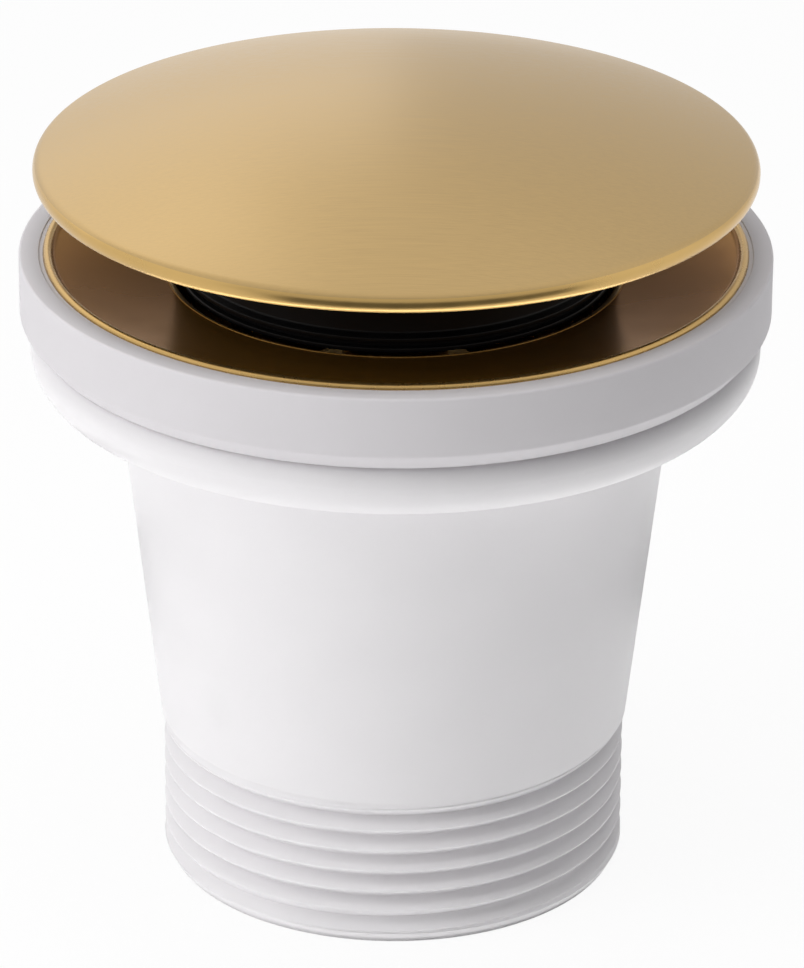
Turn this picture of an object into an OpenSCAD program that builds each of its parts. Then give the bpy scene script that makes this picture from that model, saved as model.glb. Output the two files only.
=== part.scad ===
// Sprung plug bath waste: a domed push-to-close plug over a dished outlet flange,
// a clamping washer and a threaded plastic body. All sizes are in millimetres.
// The origin is the centre of the tail's end face and +Z points up to the cap.

/* [Cap] */
// Outer radius of the domed cap
cap_r = 36.5; // [33:0.5:37.5]
// Rounding of the cap's edge
cap_edge_r = 1; // [0.7:0.1:1.3]
// Height of the crown above the middle of the edge
cap_rise = 7; // [6:0.5:9]
// Sheet thickness of the cap
cap_wall = 1.6; // [1.2:0.1:2]
// Height of the cap's edge above the flange rim when the plug is up
open_gap = 7.7; // [7.6:0.1:9]

/* [Flange] */
// Width of the rim's rounded bead
rim_w = 0.9; // [0.7:0.1:1.5]
// Height of the rim's crest above the edge of the hole
dish_depth = 2.4; // [1.8:0.1:3]
// Radius of the round-over at the hole's edge
hole_round = 0.9; // [0.6:0.1:1.2]
// Inner radius of the throat
throat_r = 22.3; // [22:0.1:23]
// Wall of the flange and its throat
flange_wall = 1.6; // [1.3:0.1:1.8]
// Width of the arms that carry the hub
arm_w = 3.2; // [2.4:0.2:5]
// Height of the arms
arm_h = 5; // [4:0.5:5.5]
// Radius of the hub
hub_r = 9; // [8.6:0.2:10]
// Height of the hub
hub_h = 6; // [5.5:0.5:8]

/* [Sealing washer] */
// Outer radius of the sealing washer
washer_r = 38.05; // [37.8:0.05:39]
// Width of the washer's collar around the outlet flange
collar_w = 2.05; // [1.5:0.05:3]
// Gap between the collar and the rim of the outlet flange
rim_gap = 0.4; // [0.2:0.05:0.6]
// Thickness of the sealing washer at its edge
washer_h = 7.95; // [7:0.05:9]
// Width of the bevel under the washer's edge
bevel_w = 0.8; // [0.4:0.1:1]
// Height of that bevel
bevel_h = 1.8; // [1:0.1:2.5]
// Chamfer at the washer's top edge
washer_chamfer = 0.3; // [0.2:0.1:0.6]
// Height of the flange rim above the washer's top face
rim_proud = 0.35; // [0.2:0.05:0.6]

/* [Body] */
// Outer radius of the body's flange
body_flange_r = 37.05; // [36.5:0.05:38]
// Thickness of the body's flange
body_flange_h = 6; // [5:0.2:8]
// Rounding of the flange's lower edge
body_flange_round = 3.5; // [2:0.5:4]
// Rounding of the flange's upper edge
flange_top_round = 0.8; // [0.4:0.1:1.2]
// Outer radius of the barrel under the flange
barrel_top_r = 28.35; // [28:0.05:30]
// Outer radius of the barrel above the thread
barrel_bottom_r = 24.2; // [24.1:0.1:25]
// Height of the tapered barrel
barrel_h = 36.6; // [34:0.2:44]
// Wall of the barrel
barrel_wall = 2.6; // [2:0.1:2.8]
// Length of the threaded tail
tail_h = 16.5; // [12:0.5:20]
// Outer radius of the tail's thread
thread_r = 23.9; // [23.7:0.05:24]
// Height of the tapered lead below the thread
lead_h = 1.25; // [0.8:0.05:1.6]
// Taper of the lead towards the end of the tail
lead_taper = 0.65; // [0.4:0.05:1]
// Wall of the tail under the crests of its thread
tail_wall = 3.6; // [3.2:0.1:4.5]
// Thickness of the ribs inside the barrel
rib_w = 2.6; // [2:0.2:4]
// Radius of the boss inside the barrel
boss_r = 9.2; // [9:0.1:10]
// Height of the boss
boss_h = 12; // [10:0.5:14]
// Distance across the flats of the threaded insert
insert_af = 13; // [12:0.5:14]

/* [Fixing bolt] */
// Radius of the fixing bolt's shank
bolt_r = 4; // [3.5:0.1:4.4]
// Radius of the fixing bolt's head
bolt_head_r = 7.5; // [7:0.1:8]
// Height of the head
bolt_head_h = 6.5; // [6:0.5:8]
// Radius of the clicker's screwed stud
stud_r = 4.2; // [4:0.1:4.4]
// Thickness of the washer under the head
bolt_washer_h = 1; // [0.8:0.1:1.5]

/* [Plug seal] */
// Clearance of the relaxed lips in the throat
lip_gap = 0.3; // [0.25:0.05:0.6]
// Depth of the grooves between the lips
seal_groove = 0.7; // [0.4:0.1:0.9]
// Reach of the flap beyond the edge of the hole
flap_reach = 1.4; // [1:0.1:2.3]
// Wall of the seal around its carrier
seal_wall = 0.9; // [0.7:0.1:1.3]
// Thickness of the carrier
carrier_h = 3; // [2.5:0.1:3.2]

/* [Clicker] */
// Full travel of the plug from open to the bottom stop
travel = 7.3; // [6.5:0.1:7.3]
// Turn of the index ring over the full travel
index_turn = 36; // [30:1:40]
// Radius of the track pins
pin_r = 0.9; // [0.8:0.05:1]
// Outer radius of the clicker's post
post_r = 5.4; // [5.2:0.1:5.6]
// Bore radius of the post
post_bore_r = 3.7; // [3.5:0.1:3.8]
// Outer radius of the index ring
ring_r = 8.6; // [8.4:0.1:8.8]
// Wall of the clicker's sleeve
sleeve_wall = 1.8; // [1.6:0.1:2.2]
// Wire radius of the spring
wire_r = 0.35; // [0.3:0.05:0.4]
// Number of turns of the spring
spring_turns = 10; // [8:1:11]

/* [Fits] */
// Running clearance between parts that slide or turn
run_gap = 0.1; // [0.08:0.01:0.12]
// Clearance between parts that pass each other freely
free_gap = 0.3; // [0.25:0.05:0.35]
// Clearance of a screwed or pressed joint
joint_gap = 0.03; // [0.02:0.01:0.05]

/* [Hidden] */
$fn = 96;
CUT = 1;

// Levels of the outer pieces, from the end of the tail upwards
barrel_top = tail_h + barrel_h;
body_top = barrel_top + body_flange_h;
washer_top = body_top + washer_h;
rim_z = washer_top + rim_proud;
hole_z = rim_z - dish_depth;
edge_z = rim_z + open_gap + cap_edge_r;

// Dome of the cap: a sphere that rolls over into the edge
edge_x = cap_r - cap_edge_r;
dome_r = (edge_x * edge_x + cap_rise * cap_rise - cap_edge_r * cap_edge_r)
    / (2 * (cap_rise - cap_edge_r));
dome_z = edge_z + cap_rise - dome_r;
edge_lip = 0.6;
foot_r = 12.5;
foot_h = 1.2;
foot_z = under_dome(foot_r) - foot_h;

// Dish of the flange, between the rim's bead and the rounded edge of the hole
flange_r = washer_r - collar_w - rim_gap;
throat_out_r = throat_r + flange_wall;
bead_r = rim_w / 2;
bead_x = flange_r - bead_r;
bead_z = rim_z - bead_r;
bead_end = 155;
dish_x = bead_x + bead_r * cos(bead_end);
dish_z = bead_z + bead_r * sin(bead_end);
hole_x = throat_r + hole_round;
dish_slope = (dish_z - hole_z) / (dish_x - hole_x);
under_z = dish_z - flange_wall;
neck_z = under_z - (dish_x - throat_out_r) * dish_slope;
throat_gap = 0.5;
well_r = throat_out_r + throat_gap;

// Sealing washer and the lip that centres it
lip_w = 0.7;
lip_h = 1;
washer_in_r = well_r + lip_w + joint_gap;

// Plug side of the clicker, hung from the cap's foot
stud_grip = 1.5;
disc_h = 1;
thrust_h = 0.5;
plate_h = 1.3;
floor_h = 1;
clip_h = 1;
clip_lip = 0.9;
pin_space = pin_r + free_gap;
disc_top = foot_z - stud_grip - joint_gap;
disc_low = disc_top - disc_h;
ring_top = disc_low - thrust_h - 2 * run_gap;
ring_h = plate_h + travel + 2 * pin_space + floor_h;
ring_low = ring_top - ring_h;
ring_floor = ring_low + floor_h;
clip_top = ring_low - run_gap;
sleeve_low = clip_top - clip_h - clip_lip;
sleeve_in_r = ring_r + 2 * run_gap;
sleeve_r = sleeve_in_r + sleeve_wall;
clip_groove = 0.7;

// Waste side of the clicker, from its post down to the boss in the barrel
stop_gap = 0.4;
hex_h = 3;
hex_af = 15;
well_depth = 1.5;
pin_z = ring_floor + pin_space;
post_top = disc_low - travel - free_gap;
hex_top = sleeve_low - travel - stop_gap;
post_floor = hex_top - well_depth;
head_top = hex_top - hex_h;
head_low = head_top - bolt_head_h;
socket_floor = 1.3;
slot_w = 2.2;
slot_h = 2;
hub_top = head_low - bolt_washer_h;
hub_low = hub_top - hub_h;
bolt_play = 0.3;
boss_drop = 4;
boss_top = hub_low - boss_drop;
boss_low = boss_top - boss_h;

// Plunger and its key
plunger_r = post_bore_r - run_gap;
plunger_wall = 0.8;
plunger_low = post_floor + travel + free_gap;
plunger_roof = 0.6;
key_w = 1.2;
key_r = plunger_r + 0.6;
key_angle = 60;
spring_r = plunger_r - plunger_wall - wire_r - 0.2;

// Cam track of the index ring, with one lobe for each pin
LOBES = 3;
LOBE = 360 / LOBES;
ring_wall = 0.7;
ring_in_r = post_r + 2 * run_gap;
track_r = ring_r - ring_wall;
track_mean_r = (ring_in_r + track_r) / 2;
track_rate = index_turn / travel;
track_lean = atan(track_rate * PI / 180 * track_mean_r);
track_half = pin_space / cos(track_lean) * 180 / (PI * track_mean_r);
peak_half = LOBE / 2 - track_half + track_rate * pin_space;
tooth_half = track_rate * (travel + pin_space) - track_half;
tooth_h = tooth_half / track_rate - 0.4;
latch_drop = 1;

// Seal and carrier under the cap
seal_drop = 0.1;
seal_r = throat_r - lip_gap;
seal_wall_r = seal_r - seal_groove;
carrier_r = seal_wall_r - seal_wall;
seal_in_r = carrier_r - 0.8;
seal_hold_r = carrier_r - 1.8;
seal_lip_h = 0.5;
seal_low = hole_z - seal_drop;
flap_h = 1.1;
flap_r = hole_x + flap_reach;
flap_low = hole_z + (flap_r - hole_x) * dish_slope + travel + free_gap + seal_drop;
seal_top = flap_low + flap_h + 0.5;
channel_h = 1.4;
carrier_top = seal_top - channel_h;
carrier_low = carrier_top - carrier_h;
hub_wall = 2.4;
carrier_hub_r = sleeve_r + hub_wall;
carrier_ribs = 8;
carrier_rib_w = 1.6;
nut_af = 26;
nut_h = 3.2;
nut_lift = 0.8;
carrier_washer_h = 1;
carrier_washer_r = 15.5;
nut_low = sleeve_low + nut_lift;
hub_seat = nut_low + nut_h + carrier_washer_h;

// Inside of the barrel
outlet_r = thread_r - tail_wall;
shoulder_z = tail_h - 1;
mouth_chamfer = 0.8;
barrel_taper = (barrel_top_r - barrel_bottom_r) / barrel_h;
well_low = hub_low - 1.5;
insert_bore = bolt_r + joint_gap;

function arc(x, z, r, a0, a1, n = 8) =
    [for (i = [0:n]) let (a = a0 + (a1 - a0) * i / n) [x + r * cos(a), z + r * sin(a)]];

// Height of the dome's inner face at radius r
function under_dome(r) = dome_z + sqrt(pow(dome_r - cap_wall, 2) - r * r);

module turned(profile) {
    rotate_extrude() polygon(profile);
}

module tube(r_out, r_in, z0, z1) {
    translate([0, 0, z0]) difference() {
        cylinder(r = r_out, h = z1 - z0);
        translate([0, 0, -CUT]) cylinder(r = r_in, h = z1 - z0 + 2 * CUT);
    }
}

module hex(af, z0, z1) {
    translate([0, 0, z0]) cylinder(r = af / 2 / cos(30), h = z1 - z0, $fn = 6);
}

module around(n, first = 0) {
    for (i = [0:n - 1]) rotate([0, 0, first + i * 360 / n]) children();
}

module plug_cap() {
    tangent = acos(edge_x / (dome_r - cap_edge_r));
    inner_x = edge_x - edge_lip;
    inner_a = acos(inner_x / (dome_r - cap_wall));
    color("#C8A468") turned(concat(
        arc(0, dome_z, dome_r, 90, tangent, 18),
        arc(edge_x, edge_z, cap_edge_r, tangent, -90, 10),
        [[inner_x, edge_z - cap_edge_r]],
        arc(0, dome_z, dome_r - cap_wall, inner_a, 90, 18)
    ));
}

module cap_stud() {
    seat_r = dome_r - cap_wall - joint_gap;
    color("#B8924F") turned(concat(
        [[0, foot_z - stud_grip], [sleeve_in_r - joint_gap, foot_z - stud_grip],
         [sleeve_in_r - joint_gap, foot_z], [foot_r, foot_z]],
        arc(0, dome_z, seat_r, acos(foot_r / seat_r), 90, 6)
    ));
}

module plug_seal() {
    lip1 = seal_low + seal_lip_h;
    lip2 = lip1 + seal_lip_h;
    lip3 = lip2 + seal_lip_h;
    color("#17171A") turned([
        [seal_in_r, seal_low], [seal_r, seal_low], [seal_r, lip1],
        [seal_wall_r, lip1], [seal_wall_r, lip2], [seal_r, lip2], [seal_r, lip3],
        [seal_wall_r, lip3 + seal_groove / 2],
        [seal_wall_r, flap_low - flap_h], [flap_r, flap_low], [flap_r, flap_low + flap_h],
        [seal_wall_r + seal_groove, seal_top], [seal_hold_r, seal_top],
        [seal_hold_r, carrier_top + joint_gap], [carrier_r + joint_gap, carrier_top + joint_gap],
        [carrier_r + joint_gap, carrier_low - joint_gap],
        [seal_hold_r, carrier_low - joint_gap], [seal_hold_r, carrier_low - channel_h],
        [seal_in_r, carrier_low - channel_h - seal_groove]
    ]);
}

module seal_carrier() {
    bore = sleeve_r + joint_gap;
    rib_end = seal_hold_r - free_gap;
    color("#202124") {
        turned([
            [bore, hub_seat], [carrier_hub_r, hub_seat], [carrier_hub_r, carrier_low],
            [carrier_r, carrier_low], [carrier_r, carrier_top], [carrier_hub_r, carrier_top],
            [carrier_hub_r, foot_z], [bore, foot_z]
        ]);
        around(carrier_ribs) translate([carrier_hub_r - hub_wall / 2, -carrier_rib_w / 2, hub_seat])
            cube([rib_end - carrier_hub_r + hub_wall / 2, carrier_rib_w, carrier_low + CUT - hub_seat]);
    }
}

module carrier_washer() {
    color("#C2C5C8") tube(carrier_washer_r, sleeve_r + joint_gap, nut_low + nut_h, hub_seat);
}

module seal_nut() {
    color("#B8924F") difference() {
        hex(nut_af, nut_low, nut_low + nut_h);
        translate([0, 0, nut_low - CUT]) cylinder(r = sleeve_r + joint_gap, h = nut_h + 2 * CUT);
    }
}

module clicker_sleeve() {
    color("#C29A55") difference() {
        tube(sleeve_r, sleeve_in_r, sleeve_low, foot_z);
        translate([0, 0, clip_top - clip_h - joint_gap])
            cylinder(r = sleeve_in_r + clip_groove, h = clip_h + 2 * joint_gap);
    }
}

module plunger() {
    color("#D0B27A") {
        tube(plunger_r, plunger_r - plunger_wall, plunger_low, disc_low + plunger_roof / 2);
        difference() {
            translate([0, 0, disc_low]) cylinder(r = sleeve_in_r - joint_gap, h = disc_h);
            translate([0, 0, disc_low - CUT])
                cylinder(r = plunger_r - plunger_wall, h = disc_h - plunger_roof + CUT);
        }
        difference() {
            rotate([0, 0, key_angle]) translate([0, -key_w / 2, plunger_low])
                cube([key_r, key_w, post_top - plunger_low]);
            translate([0, 0, plunger_low - CUT])
                cylinder(r = plunger_r - plunger_wall / 2, h = post_top - plunger_low + 2 * CUT);
        }
    }
}

module thrust_washer() {
    color("#F1F1EC") tube(ring_r, ring_in_r, ring_top + run_gap, ring_top + run_gap + thrust_h);
}

module ring_clip() {
    gap_w = 4;
    color("#AEB2B6") difference() {
        tube(sleeve_in_r + clip_groove - joint_gap, ring_in_r + ring_wall, clip_top - clip_h, clip_top);
        translate([0, -gap_w / 2, clip_top - clip_h - CUT]) cube([sleeve_r, gap_w, clip_h + 2 * CUT]);
    }
}

// One side of a cam tooth: a wedge that turns by the track's rate as it rises
module cam_flank(half, height, side) {
    reach = ring_r + 2;
    linear_extrude(height = height, twist = side * track_rate * height, slices = 12, segments = 8)
        polygon(concat([[0, 0]], arc(0, 0, reach, side * half, side * (half - 90), 6)));
}

// A cam tooth that narrows upwards from its base between two flanks
module cam_tooth(half, height) {
    intersection() {
        cam_flank(half, height, 1);
        cam_flank(half, height, -1);
    }
}

module index_ring() {
    roof = ring_top - plate_h;
    root = plate_h / 2;
    color("#E4E4DE") {
        difference() {
            tube(ring_r, ring_in_r, ring_low, ring_top);
            translate([0, 0, ring_low - CUT]) cylinder(r = track_r, h = roof - ring_low + CUT);
        }
        intersection() {
            tube(track_r + ring_wall / 2, ring_in_r, ring_low, ring_top);
            translate([0, 0, roof + root]) mirror([0, 0, 1]) around(LOBES)
                cam_tooth(tooth_half + track_rate * root, tooth_h + root);
        }
    }
}

module index_crown() {
    root = floor_h / 2;
    color("#D9D9D2") difference() {
        union() {
            tube(track_r - joint_gap, ring_in_r, ring_low, ring_floor);
            intersection() {
                tube(track_r - joint_gap, ring_in_r, ring_low, ring_top);
                translate([0, 0, ring_floor - root]) around(LOBES, LOBE / 2)
                    cam_tooth(peak_half + track_rate * root, travel + root);
            }
        }
        around(LOBES, LOBE / 2)
            translate([0, 0, ring_floor + pin_space + travel - latch_drop])
            rotate([0, 90, 0]) cylinder(r = pin_space, h = ring_r);
    }
}

// Centre line of the spring: closed end turns and open turns between
function spring_lift(turn) =
    let (open = spring_turns - 2, closed = 2 * wire_r + joint_gap,
         height = disc_top - plunger_roof - post_floor - 2 * wire_r - 2 * closed)
    turn < 1 ? turn * closed
    : turn > spring_turns - 1 ? closed + height + (turn - spring_turns + 1) * closed
    : closed + (turn - 1) / open * height;

module return_spring() {
    sides = 6;
    steps = 12;
    rings = round(spring_turns * steps);
    points = [for (i = [0:rings], j = [0:sides - 1]) let (
        turn = i / steps, a = 360 * turn, b = 360 * j / sides,
        r = spring_r + wire_r * cos(b)
    ) [r * cos(a), r * sin(a), post_floor + wire_r + spring_lift(turn) + wire_r * sin(b)]];
    skin = [for (i = [0:rings - 1], j = [0:sides - 1]) let (
        a = i * sides + j, b = i * sides + (j + 1) % sides
    ) each [[a, a + sides, b + sides], [a, b + sides, b]]];
    start = [for (j = [0:sides - 1]) j];
    end = [for (j = [sides - 1:-1:0]) rings * sides + j];
    color("#9FA3A8") polyhedron(points, concat(skin, [start, end]));
}

module clicker_post() {
    key_space = key_w + 2 * run_gap;
    color("#C29A55") difference() {
        union() {
            translate([0, 0, head_low + socket_floor])
                cylinder(r = stud_r - joint_gap, h = head_top - head_low - socket_floor + CUT);
            hex(hex_af, head_top, hex_top);
            translate([0, 0, head_top]) cylinder(r = post_r, h = post_top - head_top);
        }
        translate([0, 0, post_floor]) cylinder(r = post_bore_r, h = post_top - post_floor + CUT);
        rotate([0, 0, key_angle]) translate([0, -key_space / 2, post_floor])
            cube([key_r + run_gap, key_space, post_top - post_floor + CUT]);
        around(LOBES) translate([0, 0, pin_z]) rotate([0, 90, 0])
            cylinder(r = pin_r + joint_gap, h = ring_r);
    }
}

module track_pins() {
    start = post_bore_r + run_gap;
    color("#8F9398") around(LOBES) translate([start, 0, pin_z]) rotate([0, 90, 0])
        cylinder(r = pin_r, h = track_r - free_gap - start);
}

module fixing_bolt() {
    color("#BF9A58") difference() {
        union() {
            translate([0, 0, head_low]) cylinder(r = bolt_head_r, h = bolt_head_h);
            translate([0, 0, boss_low]) cylinder(r = bolt_r, h = head_low - boss_low + socket_floor / 2);
        }
        translate([0, 0, head_low + socket_floor - joint_gap]) cylinder(r = stud_r, h = bolt_head_h);
        translate([-bolt_head_r - CUT, -slot_w / 2, head_top - slot_h])
            cube([2 * (bolt_head_r + CUT), slot_w, slot_h + CUT]);
    }
}

module bolt_washer() {
    color("#C2C5C8") tube(bolt_head_r + 0.7, bolt_r + bolt_play, hub_top, head_low);
}

module waste_flange() {
    inner = throat_r + flange_wall / 2;
    color("#C3A05F") {
        turned(concat(
            [[throat_r, hub_low], [throat_out_r, hub_low], [throat_out_r, neck_z],
             [dish_x, under_z], [flange_r, under_z]],
            arc(bead_x, bead_z, bead_r, 0, bead_end, 12),
            arc(hole_x, hole_z - hole_round, hole_round, 90, 180, 6)
        ));
        difference() {
            union() {
                translate([0, 0, hub_low]) cylinder(r = hub_r, h = hub_h);
                intersection() {
                    translate([0, 0, hub_low]) cylinder(r = inner, h = arm_h);
                    around(4) translate([0, -arm_w / 2, hub_low]) cube([inner + CUT, arm_w, arm_h]);
                }
            }
            translate([0, 0, hub_low - CUT]) cylinder(r = bolt_r + bolt_play, h = hub_h + 2 * CUT);
        }
    }
}

module sealing_washer() {
    seat_r = flange_r + rim_gap;
    color("#C9C9CB") turned([
        [washer_in_r, body_top], [washer_r - bevel_w, body_top],
        [washer_r, body_top + bevel_h], [washer_r, washer_top - washer_chamfer],
        [washer_r - washer_chamfer, washer_top], [seat_r, washer_top], [seat_r, under_z],
        [dish_x, under_z], [washer_in_r, under_z - (dish_x - washer_in_r) * dish_slope]
    ]);
}

// Outer shape of the body, closed to the axis
module body_outline() {
    round_x = body_flange_r - body_flange_round;
    turned(concat(
        [[0, 0], [thread_r - lead_taper, 0], [thread_r, lead_h], [thread_r, tail_h],
         [barrel_bottom_r, tail_h], [barrel_top_r, barrel_top]],
        arc(round_x, barrel_top + body_flange_round, body_flange_round, -90, 0),
        arc(body_flange_r - flange_top_round, body_top - flange_top_round, flange_top_round, 0, 90, 4),
        [[0, body_top]]
    ));
}

module waste_body() {
    rib_reach = barrel_bottom_r + barrel_taper * (boss_low - tail_h) - free_gap;
    taper_end = min(barrel_bottom_r, thread_r) - barrel_wall;
    color("#EDEDEF") {
        difference() {
            body_outline();
            turned([
                [0, -CUT], [outlet_r + mouth_chamfer, -CUT], [outlet_r + mouth_chamfer, 0],
                [outlet_r, mouth_chamfer], [outlet_r, shoulder_z],
                [taper_end, shoulder_z + 1], [well_r, well_low], [well_r, body_top + CUT],
                [0, body_top + CUT]
            ]);
        }
        tube(well_r + lip_w, well_r, body_top - CUT, body_top + lip_h);
        difference() {
            union() {
                translate([0, 0, boss_low]) cylinder(r = boss_r, h = boss_h);
                around(4, 45) translate([0, -rib_w / 2, boss_low]) cube([rib_reach, rib_w, boss_h]);
            }
            hex(insert_af, boss_low - CUT, boss_top + CUT);
        }
    }
}

module body_insert() {
    color("#B8924F") difference() {
        hex(insert_af, boss_low, boss_top);
        translate([0, 0, boss_low - CUT]) cylinder(r = insert_bore, h = boss_h + 2 * CUT);
    }
}

plug_cap();
cap_stud();
plug_seal();
seal_carrier();
carrier_washer();
seal_nut();
clicker_sleeve();
plunger();
thrust_washer();
ring_clip();
index_ring();
index_crown();
return_spring();
clicker_post();
track_pins();
fixing_bolt();
bolt_washer();
waste_flange();
sealing_washer();
waste_body();
body_insert();
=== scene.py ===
"""Looks of a sprung plug bath waste.

A satin brass cap over a polished dish, a rubber seal and washer, and a white threaded body."""

import math
from collections import namedtuple

import bmesh
import bpy
from bpy.props import FloatProperty, FloatVectorProperty, IntProperty, PointerProperty
from mathutils import Matrix, Vector


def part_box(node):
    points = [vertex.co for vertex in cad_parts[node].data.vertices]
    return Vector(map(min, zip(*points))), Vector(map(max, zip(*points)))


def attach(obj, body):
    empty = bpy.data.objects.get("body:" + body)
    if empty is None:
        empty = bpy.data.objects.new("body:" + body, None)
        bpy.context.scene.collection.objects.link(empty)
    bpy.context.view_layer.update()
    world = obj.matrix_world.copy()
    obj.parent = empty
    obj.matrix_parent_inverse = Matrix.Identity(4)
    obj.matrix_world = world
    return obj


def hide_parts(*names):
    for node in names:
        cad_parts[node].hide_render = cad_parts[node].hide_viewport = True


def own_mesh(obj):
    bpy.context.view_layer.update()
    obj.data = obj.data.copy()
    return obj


bl_info = {
    "name": "Sprung Plug Bath Waste",
    "version": (1, 0, 0),
    "blender": (4, 5, 0),
    "location": "View3D > Sidebar > Bath Waste",
    "description": "Dresses the packed model of a sprung plug bath waste",
    "category": "Add Mesh",
}

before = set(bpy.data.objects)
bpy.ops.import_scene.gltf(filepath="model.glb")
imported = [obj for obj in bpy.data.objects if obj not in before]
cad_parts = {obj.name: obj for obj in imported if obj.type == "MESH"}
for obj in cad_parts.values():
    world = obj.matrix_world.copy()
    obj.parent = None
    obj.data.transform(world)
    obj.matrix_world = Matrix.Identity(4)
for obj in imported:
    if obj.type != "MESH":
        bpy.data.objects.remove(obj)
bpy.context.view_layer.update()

MM = 0.001

# Steps to a full turn, degrees to a step of an arc, and steps to a rounding
TURN_STEPS = 192
ARC_STEP = 6
ROUND_STEPS = 4
# Points closer than this many metres are one point, and points within the other lie on one level
WELD = 2e-7
LEVEL = 1e-5
# Faces that meet at more than this angle keep a sharp edge
CREASE = math.radians(32)
# Degrees at which the bead of the flange's rim runs into the dish
BEAD_END = 155

# The parts of an outline: a corner with the radius that rounds it, and an arc about a centre
Corner = namedtuple("Corner", "x z round", defaults=(0,))
Arc = namedtuple("Arc", "x z radius start end step", defaults=(ARC_STEP,))
# Where the bead, the flank, the hole and the underside of the flange's dish lie
Dish = namedtuple("Dish", "bead bead_x bead_z x flank_x flank_z hole_x hole_z slope under_z")


def linear(code):
    """An sRGB hex colour as the linear RGBA that shaders take."""
    channels = [int(code[i : i + 2], 16) / 255 for i in (1, 3, 5)]
    return (*(c / 12.92 if c <= 0.04045 else ((c + 0.055) / 1.055) ** 2.4 for c in channels), 1.0)


WHITE = linear("#FFFFFF")


def length(name, description, millimetres):
    """A setting that is a length; its default is given in millimetres."""
    return FloatProperty(
        name=name,
        description=description,
        default=millimetres * MM,
        min=0,
        precision=5,
        subtype="DISTANCE",
        unit="LENGTH",
    )


def colour(name, description, code):
    """A setting that is a colour; its default is given as an sRGB hex colour."""
    return FloatVectorProperty(
        name=name,
        description=description,
        default=linear(code),
        size=4,
        min=0,
        max=1,
        subtype="COLOR",
    )


def angle(name, description, degrees):
    """A setting that is an angle; its default is given in degrees."""
    return FloatProperty(
        name=name,
        description=description,
        default=math.radians(degrees),
        precision=4,
        subtype="ANGLE",
        unit="ROTATION",
    )


def number(name, description, default, least=0):
    """A setting that is a plain number, such as a power or a strength."""
    return FloatProperty(name=name, description=description, default=default, min=least)


class PlugSettings(bpy.types.PropertyGroup):
    """The sprung plug: cap and seal"""

    edge_radius: length("Edge", "Radius of the cap's rolled edge", 1.2)
    edge_drop: length("Edge Drop", "Height of the dome's edge over the cap's lowest point", 0.2)
    edge_end: angle("Edge End", "How far the rolled edge turns under before it is cut flat", 35)
    wall: length("Wall", "Sheet thickness of the cap", 1.6)
    lip: length("Lip", "Width of the flat under the cap's edge", 0.6)
    lip_round: length("Lip Round", "Rounding of the seal's lips", 0.14)
    cap_colour: colour("Cap", "Satin brass of the cap", "#BFA06A")
    # The edge's lighter gold is a painted highlight on the rolled edge
    edge_highlight_colour: colour("Edge Colour", "Gold of the cap's edge", "#CCA866")
    seal_colour: colour("Seal", "Rubber of the seal", "#060607")


class FlangeSettings(bpy.types.PropertyGroup):
    """The dished outlet flange and its washer"""

    rim_width: length("Rim", "Width of the rim's bead", 0.9)
    dish_depth: length("Dish", "Height of the rim's crest above the edge of the hole", 2.4)
    flank_width: length("Flank Width", "Width of the steeper flank inside the rim's bead", 0.3)
    lip: length("Lip", "Radius of the fine raised lip around the hole", 0.07)
    flank_height: length("Flank Height", "Height of that flank", 0.36)
    collar: length("Collar", "Width of the washer's collar around the rim", 2.05)
    washer_bore: length("Washer Bore", "Inner radius of the washer", 25.13)
    throat_radius: length("Throat", "Inner radius of the throat", 22.3)
    hole_round: length("Hole Round", "Round-over at the edge of the hole", 0.9)
    wall: length("Wall", "Wall of the flange and its throat", 1.6)
    arm_width: length("Arm Width", "Width of the arms that carry the hub", 3.2)
    arm_height: length("Arm Height", "Height of the arms", 5)
    hub_radius: length("Hub", "Radius of the hub", 9)
    hub_height: length("Hub Height", "Height of the hub", 6)
    bevel_width: length("Bevel Width", "Width of the bevel under the washer's edge", 1.5)
    bevel_height: length("Bevel Height", "Height of that bevel", 1.8)
    rim_colour: colour("Rim Colour", "Satin brass of the rim", "#C6A366")
    # The dish's deep brown is painted shade under the cap and painted reflection of brass in brass
    dish_shade_colour: colour("Dish Colour", "Polished brass of the dish", "#9A6E2A")
    washer_colour: colour("Washer", "Rubber of the sealing washer", "#DAD7DA")


class BodySettings(bpy.types.PropertyGroup):
    """The moulded body with its threaded tail"""

    pitch: length("Pitch", "Pitch of the tail's thread, 11 turns to the inch", 2.309)
    depth: length("Depth", "Depth of the thread", 1.479)
    crest_round: length("Crest", "Rounding of the thread's crests and roots", 0.16)
    run_out: number("Run Out", "Fall of the cones on which the thread's grooves end", 0.65)
    crest_height: length("First Crest", "Height of the highest crest at the front", 15.35)
    ledge_height: length("Ledge", "Height at which the barrel ends over the thread", 16.3)
    lead: length("Lead", "Height of the plain lead below the thread", 1.25)
    lead_taper: length("Lead Taper", "Taper of the lead towards the end", 0.65)
    flange_round: length("Flange Round", "Rounding of the flange's lower edge", 3.9)
    top_round: length("Top Round", "Rounding of the flange's upper edge", 1.9)
    colour: colour("Body", "Moulded plastic of the body", "#EFEDEF")


class ClickerSettings(bpy.types.PropertyGroup):
    """The click mechanism inside the plug"""

    wire: length("Wire", "Radius of the spring's wire", 0.35)
    turns: IntProperty(
        name="Turns",
        description="Turns of the spring, its two closed ends among them",
        default=10,
        min=4,
    )
    spring_keep: FloatProperty(
        name="Squash",
        description="Share of the spring's height left at the bottom stop",
        default=0.7,
        min=0.1,
        max=1,
    )


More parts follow.
